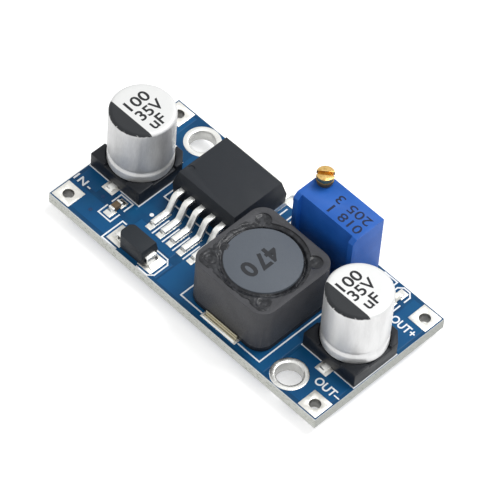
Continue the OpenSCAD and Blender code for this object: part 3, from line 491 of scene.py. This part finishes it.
# %% Can profile
LIP = 0.45  # radius of the rolled top edge
HEEL = 0.34  # radius of the bottom edge
BEAD_FROM, BEAD_TALL, BEAD_DEEP = 1.15, 1.10, 0.11


def rolled_bead(r):
    """A groove pressed in all round, one wave of a cosine deep."""
    turns = [(a, math.radians(a)) for a in range(30, 360, 30)]
    return [(r - BEAD_DEEP * (1 - math.cos(t)), BEAD_FROM + BEAD_TALL * a / 360) for a, t in turns]


def can_profile(r, h):
    """Half of a can's section, from the middle of its bottom to the middle of its top."""
    return [(0, 0), (r - 0.6, 0), *arc(r - HEEL, HEEL, HEEL, -90, 0, 6), (r, 0.75), (r, BEAD_FROM),
            *rolled_bead(r), (r, 2.3), (r, 4.6), (r, h - 1.2),
             *arc(r - LIP, h - LIP, LIP, 0, 90, 8),
            (r - 0.8, h), (r * 0.5, h), (0, h)]


print("a can's profile has", len(can_profile(4, 8.8)), "points")


# %% Can finish
PRINT_FROM = -1.86  # the black mark covers the can's top on this side of its middle


def drawn_aluminium(name, centre, r, top, light):
    f = Finish(name)
    at = f.place(centre)
    x, y, z = f.parts(at)
    round_way = f.add("ShaderNodeVectorMath", {"operation": "NORMALIZE"},
                      {0: f.stretch(at, (1.0, 1.0, 0.0))})
    height = f.add("ShaderNodeCombineXYZ", {}, {2: z * 0.05})
    wall = f.add("ShaderNodeVectorMath", {"operation": "ADD"}, {0: round_way, 1: height})
    bands = f.grain(wall, 2.6, 2.0)
    streaks = f.grain(wall, 26.0, 3.0)
    cloud = f.grain(at, 0.8, 3.0)
    radius = (x * x + y * y).math("SQRT")
    lid = f.step(z, top - 0.30, top - 0.12)
    worn = f.grain(at, 2.6, 5.0, 0.7)
    over_rim = f.step(radius + worn * 0.35, r + 0.06, r + 0.16)
    mark_foot = top - 0.52 + worn * 0.3
    printed = f.step(y, PRINT_FROM, PRINT_FROM - 0.06) * f.step(z, mark_foot, mark_foot + 0.12)
    fleck = f.step(worn, 0.70, 0.74).most(over_rim * f.step(worn, 0.56, 0.62)) * 0.75
    black = printed * (1 - fleck)
    # painted light: the wall's tone is scaled by light, so one can reads as more lit than the other
    tone = f.blend(f.step(bands, 0.35, 0.65), (0.60 * light,) * 3, (0.68 * light,) * 3)
    tone = f.blend(f.step(streaks, 0.4, 0.7, 0, 0.25), tone, (0.80, 0.80, 0.80))
    tone = f.blend(f.step(z, 2.3, 0.6, 0, 0.5), tone, (0.76, 0.77, 0.77))
    tone = f.blend(lid, tone, (0.69, 0.695, 0.69))
    metal = (1 - black) * (0.72 - lid * 0.32)
    return f.set(Base_Color=f.blend(black, tone, (0.022, 0.024, 0.027)), Metallic=metal,
                 Roughness=f.step(lid, 0, 1, 0.46, 0.5) + (streaks - 0.5) * 0.12,
                 Normal=f.relief(streaks * 0.4 + cloud * 0.6 - black * 0.3, 0.02),
                 Specular_IOR_Level=0.25)


can_ink = ink("can_ink", (0.015, 0.016, 0.018), (0.10, 0.10, 0.10), 0.68)
words = (("100", 3.25), ("35V", 3.6), ("uF", 2.1))  # a word and its length
# painted light: the number after each side dims the input can and brightens the output can
for side, light, rows in (("input", 0.92, ((-1.36, 0.36), (0.55, 0.52), (2.36, 0.0))),
                          ("output", 1.06, ((-1.72, 0.02), (0.05, 0.22), (1.89, -0.15)))):
    low, high, mid = span(side + "_capacitor_can")
    centre = (mid.x, mid.y, low.z)
    can_h, can_r = high.z - low.z, (high.x - low.x) / 2
    skin = drawn_aluminium(side + "_can_aluminium", centre, can_r, can_h, light)
    finish_piece(turned_shape(can_profile(can_r, can_h), centre), side + "_can", skin,
                 stands_for=(side + "_capacitor_can",), smooth=60)
    for (word, length), (dx, dy) in zip(words, rows):
        lettering(f"{side}_can_text_{word}", word, (mid.x + dx, mid.y + dy, high.z + 0.004),
                  NORTH, WEST, (length, 1.56), can_ink, 0.018, 0.008)
print("cans", round(can_r * 2, 2), "mm across,", round(can_h, 2), "mm tall")

# %% [markdown]
# ## Moulded black plastic
#
# The bases, the power package and the diode are all dark mouldings, but not the same
# black: a base is shiny nylon, and a package is filled resin, to which its mould gave
# a fine matt grain. The size of the grain and the gloss tell them apart.

# %% Black mouldings
def moulding(name, tone, dull, grain_mm, depth, speck=0.25, shine=0.3):
    f = Finish(name)
    at = f.place()
    fine = f.grain(at, 1 / grain_mm, 3.0, 0.7)
    broad = f.grain(at, 0.5, 2.0)
    pale = tuple(min(1, c * 1.7 + 0.01) for c in tone)
    return f.set(Base_Color=f.blend(f.step(fine, 0.55, 0.8, 0, speck), tone, pale),
                 Roughness=f.step(broad, 0.3, 0.7, dull * 0.88, dull * 1.12),
                 Normal=f.relief(fine, depth), Specular_IOR_Level=shine)


base_black = moulding("base_black", (0.010, 0.012, 0.016), 0.40, 0.25, 0.010, shine=0.25)
package_black = moulding("package_black", (0.018, 0.021, 0.026), 0.50, 0.12, 0.010, shine=0.22)
diode_black = moulding("diode_black", (0.017, 0.021, 0.026), 0.52, 0.15, 0.015, shine=0.22)
for side in ("input", "output"):
    soften(side + "_capacitor_base", 0.14, base_black, segments=3)
    soften(side + "_capacitor_leads", 0.05, lead_tin)
soften("regulator_package", 0.10, package_black, segments=3)
soften("regulator_tab", 0.08, lead_tin)
soften("regulator_leads", 0.07, lead_tin, segments=2)
soften("diode_body", 0.14, diode_black, segments=3)
soften("diode_terminals", 0.06, lead_tin)

# %% [markdown]
# ## The inductor
#
# A shielded coil is a ferrite reel inside a ferrite box, glued in with black resin,
# which the next step makes. Ferrite is a dull grey ceramic: its finish needs a
# fine grain, faint clouds and a few pale specks as painted glints, and the box's top
# edge is worn round, so that edge gets a wider bevel than the others.

# %% Ferrite finishes
def ferrite(name, tone, dull, painted_glint, clouds=0.35):
    f = Finish(name)
    at = f.place()
    fine = f.grain(at, 6.0, 4.0, 0.7)
    cloud = f.grain(at, 0.45, 3.0)
    glint_specks = f.step(f.grain(at, 14.0, 2.0, 0.6), 0.66, 0.74)
    pale = tuple(c * 1.5 for c in tone)
    colour = f.blend(f.step(cloud, 0.35, 0.7, 0, clouds), tone, pale)
    # painted glints: pale specks in the base colour stand in for small highlights
    colour = f.blend(glint_specks * painted_glint, colour, (0.30, 0.29, 0.31))
    return f.set(Base_Color=colour, Roughness=f.step(fine, 0.4, 0.7, dull * 0.85, dull * 1.15),
                 Normal=f.relief(fine, 0.02), Specular_IOR_Level=0.25)


shield_ferrite = ferrite("shield_ferrite", (0.050, 0.051, 0.056), 0.55, 0.35)
disc_ferrite = ferrite("disc_ferrite", (0.096, 0.110, 0.130), 0.60, 0.1, 0.08)
_, coil_high, coil_mid = span("inductor_shield_core")
core = merged_copy("inductor_shield_core")
RIM_FROM = 5.3  # the core's opening stays inside this, its outline outside


def outer_rim(edge):
    """Edges of the core's top face that lie on its outside."""
    middle = (edge.verts[0].co + edge.verts[1].co) / 2 / MM - coil_mid
    on_top = min(v.co.z for v in edge.verts) / MM > coil_high.z - 0.01
    return on_top and max(abs(middle.x), abs(middle.y)) > RIM_FROM


round_edges(core, 0.34, 4, only=outer_rim)
round_edges(core, 0.10, 2, turn=45)
finish_piece(core, "inductor_core", shield_ferrite, stands_for=("inductor_shield_core",))
soften("inductor_drum_core", 0.06, disc_ferrite)

# %% [markdown]
# ## Resin between reel and box
#
# The resin creeps up both rims, sets in a glossy uneven ring with a deep dark gap
# beside the reel, fills the round pockets near the corners, and was smeared over the
# rim on two sides. No simple solid has that shape. A fine grid, whose height is worked
# out at each point from the distance to the opening's wall, follows all of it. Where
# it isn't meant to show it dives under the ferrite, and those faces are taken away.

# %% Places of the opening
disc_r = 4.6
bore_r = 5.5
pocket_at = 5.85 / math.sqrt(2)
pocket_r = 1.0


def smooth_step(value, start, end):
    share = max(0.0, min(1.0, (value - start) / (end - start)))
    return share * share * (3 - 2 * share)


def resin_wall(x, y):
    """How far a point lies outside the core's opening; less than 0 is inside it."""
    return min(math.hypot(x, y) - bore_r,
               math.hypot(abs(x) - pocket_at, abs(y) - pocket_at) - pocket_r)


print("opening", bore_r * 2, "mm across, reel", disc_r * 2, "mm across")


# %% Height of the resin
RESIN_SINK = 0.26  # how far the ring lies under the box's top
DIVE = 0.2  # how far it dives where ferrite covers it


def resin_height(x, y):
    """Height of the resin above the ferrite's top face at a point from the coil's axis."""
    lumps = noise.fractal(Vector((x, y, 3.1)) * 1.2, 1.0, 2.0, 3)
    fine = noise.noise(Vector((x, y, 8.2)) * 4.5)
    r = math.hypot(x, y)
    wall = resin_wall(x, y)
    smeared = smooth_step(-(0.55 * x + 0.83 * y) / max(r, 0.1), -0.45, 0.45)
    level = -RESIN_SINK + 0.12 * smeared + lumps * 0.05 + fine * 0.01
    level += (0.10 + 0.13 * smeared) * smooth_step(wall, -0.40, 0.02)
    level -= (0.42 - 0.24 * smeared) * math.exp(-((r - disc_r - 0.22) / 0.17) ** 2)
    spread = 1 - smooth_step(wall + lumps * 0.2, 0.05 + 0.30 * smeared, 0.14 + 0.52 * smeared)
    spread *= 1 - smooth_step(max(abs(x), abs(y)), 5.35, 5.6)
    level = -DIVE + (level + DIVE) * (spread if wall > 0 else 1)
    lap = math.exp(-(((x + 4.2) ** 2 + (y + 1.75) ** 2) / 0.4) ** 2)
    return level + max(0.0, 0.05 - level) * lap * smooth_step(r + lumps * 0.2, 4.1, 4.3)


print("resin over a rim stands", round(resin_height(-4.0, -4.2), 3), "mm high")

# %% Resin ring
RESIN_CELLS, RESIN_HALF, RESIN_FLOOR = 150, 5.9, -0.8
COVERED = -0.13  # resin that lies lower than this under ferrite never shows
resin_bm = bmesh.new()
bmesh.ops.create_grid(resin_bm, x_segments=RESIN_CELLS, y_segments=RESIN_CELLS,
                      size=RESIN_HALF * MM)
for vert in resin_bm.verts:
    vert.co.z = resin_height(vert.co.x / MM, vert.co.y / MM) * MM
hidden = []
for face in resin_bm.faces:
    spot = face.calc_center_median() / MM
    sunk = all(v.co.z < COVERED * MM for v in face.verts)
    if sunk and (spot.xy.length < disc_r - 0.2 or resin_wall(spot.x, spot.y) > 0.1):
        hidden.append(face)
bmesh.ops.delete(resin_bm, geom=hidden, context="FACES")
under = bmesh.ops.extrude_face_region(resin_bm, geom=resin_bm.faces[:], use_keep_orig=True)["geom"]
for vert in (g for g in under if isinstance(g, bmesh.types.BMVert)):
    vert.co.z = RESIN_FLOOR * MM
bmesh.ops.recalc_face_normals(resin_bm, faces=resin_bm.faces)
bmesh.ops.translate(resin_bm, verts=resin_bm.verts,
                    vec=Vector((coil_mid.x, coil_mid.y, coil_high.z)) * MM)


def wet_resin():
    f = Finish("wet_resin")
    at = f.place()
    lump = f.grain(at, 1.6, 2.0, 0.5)
    dust = f.step(f.grain(at, 7.0, 3.0, 0.6), 0.69, 0.74)
    colour = f.blend(f.step(lump, 0.4, 0.7), (0.014, 0.015, 0.018), (0.036, 0.038, 0.043))
    return f.set(Base_Color=f.blend(dust * 0.5, colour, (0.30, 0.31, 0.33)),
                 Roughness=f.step(lump, 0.3, 0.8, 0.26, 0.42), Normal=f.relief(lump, 0.06),
                 Specular_IOR_Level=0.3)


resin = finish_piece(resin_bm, "inductor_resin_ring", wet_resin(),
                     stands_for=("inductor_resin",), smooth=70)
print("resin", len(resin.data.polygons), "faces")

# %% [markdown]
# ## Wire, base, clips and number
#
# The copper wire is hidden by the resin, but it is there when the part is cut open, so
# it gets enamel with a band for each turn. The two clips are sheet metal that has
# yellowed under flux. The number on the reel is its value code, printed in dark ink.

# %% Coil, base, clips and number
def enamel():
    f = Finish("enamelled_wire")
    turn = f.add("ShaderNodeTexWave", {"bands_direction": "Z"}, {"Vector": f.place(), "Scale": 0.6})
    return f.set(Base_Color=f.blend(turn, (0.16, 0.05, 0.02), (0.45, 0.16, 0.06)), Metallic=0.6,
                 Roughness=0.3 + turn * 0.1, Normal=f.relief(turn, 0.08))


clip_tin = tin("clip_tin", (0.50, 0.46, 0.34), 0.34, 0.04, 0.9)
digit_ink = ink("digit_ink", (0.020, 0.022, 0.026), (0.06, 0.06, 0.07), 0.66)
plain(enamel(), "inductor_winding")
soften("inductor_base", 0.05, base_black)
soften("inductor_terminals", 0.07, clip_tin, segments=3)
for digit, (gx, gy) in {"4": (5.44, -1.66), "7": (5.50, -3.27), "0": (5.36, -5.12)}.items():
    lettering("coil_digit_" + digit, digit, (gx, gy, coil_high.z + 0.004), SOUTH, EAST, (1.6, 2.3),
              digit_ink, 0.035, 0.012)

# %% [markdown]
# ## The trimmer
#
# The blue box holds a screw that turns a small wheel inside. The screw is a body of
# its own, so its pieces ride on it. Brass is a warm metal with fine turning marks, and
# the neck just above the case is made much darker and less metallic.

# %% Trimmer pieces
_, case_high, _ = span("trimmer_case")
_, _, screw_mid = span("trimmer_screw")


def blue_plastic():
    f = Finish("blue_plastic")
    at = f.place()
    fine = f.grain(at, 5.0, 3.0, 0.7)
    cloud = f.grain(at, 0.35, 2.0)
    colour = f.blend(f.step(cloud, 0.3, 0.7), (0.010, 0.092, 0.40), (0.016, 0.112, 0.46))
    colour = f.blend(f.step(fine, 0.6, 0.8, 0, 0.15), colour, (0.05, 0.20, 0.58))
    return f.set(Base_Color=colour, Roughness=0.42 + (fine - 0.5) * 0.1,
                 Normal=f.relief(fine, 0.010),
                 Specular_IOR_Level=0.28)


def brass():
    f = Finish("turned_brass")
    at = f.place((screw_mid.x, screw_mid.y, case_high.z))
    x, y, z = f.parts(at)
    fine = f.grain(f.stretch(at, (1.0, 1.0, 6.0)), 3.0, 3.0)
    # the neck just above the case is much darker, less metallic and rougher
    neck = f.step(z, 0.80, 0.66)
    colour = f.blend(f.step(fine, 0.35, 0.7), (0.74, 0.50, 0.19), (0.56, 0.35, 0.11))
    colour = f.blend(neck * 0.88, colour, (0.035, 0.040, 0.030))
    return f.set(Base_Color=colour, Metallic=1 - neck * 0.4, Roughness=0.26 + neck * 0.14,
                 Normal=f.relief(fine, 0.015))


soften("trimmer_case", 0.12, blue_plastic(), segments=3)
soften("trimmer_screw", 0.035, brass(), "adjustment_screw")
trimmer_ink = ink("trimmer_ink", (0.006, 0.014, 0.05), (0.010, 0.05, 0.22), 0.66)
for name, text, x, y, length in (("code_1", "205", 9.9, 7.78, 3.3),
                                 ("code_2", "018", 9.95, 6.15, 3.3),
                                 ("code_3", "3", 6.8, 7.8, 0.85), ("code_4", "1", 6.95, 6.12, 0.3)):
    lettering("trimmer_" + name, text, (x, y, case_high.z + 0.004), WEST, SOUTH, (length, 1.25),
              trimmer_ink, 0.008, 0.01)

# %% [markdown]
# ## Inside the trimmer
#
# Nothing of this shows from outside, but a reader may open the case. The parts keep
# their exact solids, because they mesh with each other, and only get materials: cream
# plastic, spring alloy, white ceramic, black resistive paint and blue potting resin.

# %% Inside the trimmer
plain(moulding("seal_rubber", (0.02, 0.02, 0.02), 0.7, 0.2, 0.01), "trimmer_o_ring")
plain(moulding("rotor_plastic", (0.75, 0.71, 0.60), 0.45, 0.2, 0.01), "trimmer_rotor")
plain(tin("spring_alloy", (0.66, 0.55, 0.36), 0.25, 0.02), "trimmer_wiper")
plain(moulding("white_ceramic", (0.80, 0.79, 0.75), 0.6, 0.15, 0.01), "trimmer_element")
plain(moulding("resistive_track", (0.02, 0.018, 0.016), 0.5, 0.1, 0.01), "trimmer_track")
soften("trimmer_pins", 0.04, lead_tin)
potting = moulding("potting_resin", (0.008, 0.035, 0.13), 0.25, 0.4, 0.03)
soften("trimmer_potting", 0.0, potting)

# %% [markdown]
# ## Chip parts and solder
#
# The smallest parts are fired ceramic with silvered ends. Each sits in a puddle of
# solder that climbs its ends in a hollow curve. Bevels on such thin wedges would only
# make specks, so the solder keeps its solid's edges and gets the brightest metal.

# %% Chips, lamp and solder
brown = moulding("brown_ceramic", (0.13, 0.090, 0.052), 0.42, 0.15, 0.01)
glaze = moulding("black_glaze", (0.012, 0.012, 0.013), 0.25, 0.3, 0.01)
soften("ceramic_capacitor_body", 0.06, brown)
soften("ceramic_capacitor_ends", 0.06, lead_tin)
for chip in ("led_resistor", "feedback_resistor"):
    soften(chip + "_body", 0.04, glaze)
    soften(chip + "_ends", 0.04, lead_tin)


def clear_lens():
    f = Finish("clear_lens")
    cloud = f.grain(f.place(), 2.0, 3.0)
    return f.set(Base_Color=f.blend(cloud, (0.86, 0.83, 0.70), (0.95, 0.94, 0.88)),
                 Roughness=f.step(cloud, 0.3, 0.7, 0.12, 0.3), Normal=f.relief(cloud, 0.02))


soften("led_body", 0.08, clear_lens(), segments=3)
soften("led_ends", 0.04, lead_tin)
puddles = bmesh.new()
puddles.from_mesh(solids["solder_joints"].data)
bmesh.ops.remove_doubles(puddles, verts=puddles.verts, dist=0.0005 * MM)
finish_piece(puddles, "solder_puddles", solder_tin, stands_for=("solder_joints",),
             smooth=50)

# %% [markdown]
# ## Table, lights and camera
#
# A small object on white paper under a wide soft lamp. The paper shows white to the
# camera and in reflections by a small glow of its own, and keeps the shadow, because
# the glow is added to plain matt paint. A long lens from above keeps the sides of
# the board nearly parallel.

# %% White table
PAPER_GREY = (0.80, 0.80, 0.80)
PAPER_GLOW = 0.46
TABLE_HALF = 1.5  # metres


def white_paper():
    f = Finish("white_paper")
    paint = f.add("ShaderNodeBsdfDiffuse", {}, {"Color": PAPER_GREY})
    glow = f.add("ShaderNodeEmission", {}, {"Strength": f.seen_directly() * PAPER_GLOW})
    both = f.add("ShaderNodeAddShader", {}, {0: paint, 1: glow})
    f.feed(f.tree.nodes["Material Output"].inputs["Surface"], both)
    return f.material


floor_bm = bmesh.new()
bmesh.ops.create_grid(floor_bm, x_segments=1, y_segments=1, size=TABLE_HALF)
bmesh.ops.translate(floor_bm, verts=floor_bm.verts, vec=(0, 0, -0.02 * MM))
floor_mesh = bpy.data.meshes.new("table")
floor_bm.to_mesh(floor_mesh)
floor_bm.free()
floor_mesh.materials.append(white_paper())
table = bpy.data.objects.new("table", floor_mesh)
bpy.context.scene.collection.objects.link(table)
print("table", 2 * TABLE_HALF, "m wide")

# %% [markdown]
# ## Sky and lamps
#
# The sky is one white level all round, which leaves shadows soft and colours true.
# Rays that only look at it find pure white, so polished tin shows a white room. One
# wide disk lamp behind the board gives the shadows a side, and a weak one opens the
# face that it leaves dark.

# %% World and lamps
SKY_LIGHT, SKY_SHOWN = 0.56, 1.0
world = bpy.data.worlds.new("studio")
bpy.context.scene.world = world
world.use_nodes = True
sky = Net(world.node_tree)
level = sky.add("ShaderNodeMapRange", {}, {
    "Value": sky.seen_directly(), "To Min": SKY_LIGHT, "To Max": SKY_SHOWN})
backdrop = sky.tree.nodes["Background"]
sky.feed(backdrop.inputs["Strength"], level)
sky.feed(backdrop.inputs["Color"], (1.0, 1.0, 1.0))


def soft_lamp(name, place, aim, size, power):
    lamp = bpy.data.lights.new(name, "AREA")
    lamp.shape = "DISK"
    lamp.size = size
    lamp.energy = power
    holder = bpy.data.objects.new(name, lamp)
    holder.location = place
    holder.rotation_euler = (Vector(aim) - Vector(place)).to_track_quat("-Z", "Y").to_euler()
    bpy.context.scene.collection.objects.link(holder)


BOARD_MIDDLE = (0, 0, 0)
soft_lamp("key_lamp", (0.10, 0.30, 0.55), BOARD_MIDDLE, size=0.35, power=2.7)
soft_lamp("fill_lamp", (0.45, -0.20, 0.35), BOARD_MIDDLE, size=0.30, power=0.6)
print("sky", SKY_LIGHT, "and two disk lamps")

# %% [markdown]
# ## Camera
#
# A camera's own axes are right, up and back. They are worked out from an azimuth and
# a tilt, then turned by a small roll, and set as the columns of its matrix, which is
# exact where three angles in a row would be easy to mix up.

# %% Camera
CAMERA_PLACE = (0.19673, -0.22098, 0.38775)
LENS_MM = 303.17
azimuth, tilt, roll = (math.radians(a) for a in (41.58, 52.39, 4.91))
back = Vector((math.sin(azimuth) * math.cos(tilt), -math.cos(azimuth) * math.cos(tilt),
               math.sin(tilt)))
level_right = Vector((0, 0, 1)).cross(back).normalized()
level_up = back.cross(level_right)
right = math.cos(roll) * level_right + math.sin(roll) * level_up
upward = -math.sin(roll) * level_right + math.cos(roll) * level_up
lens = bpy.data.cameras.new("camera")
lens.sensor_width = 36
lens.lens = LENS_MM
lens.clip_start, lens.clip_end = 0.01, 10
camera = bpy.data.objects.new("camera", lens)
camera.matrix_world = Matrix((right, upward, back)).transposed().to_4x4()
camera.location = CAMERA_PLACE
bpy.context.scene.collection.objects.link(camera)
bpy.context.scene.camera = camera
bpy.context.scene.view_settings.view_transform = "Standard"
print("camera", round(camera.location.length, 3), "m from the board,", LENS_MM, "mm lens")

# %% [markdown]
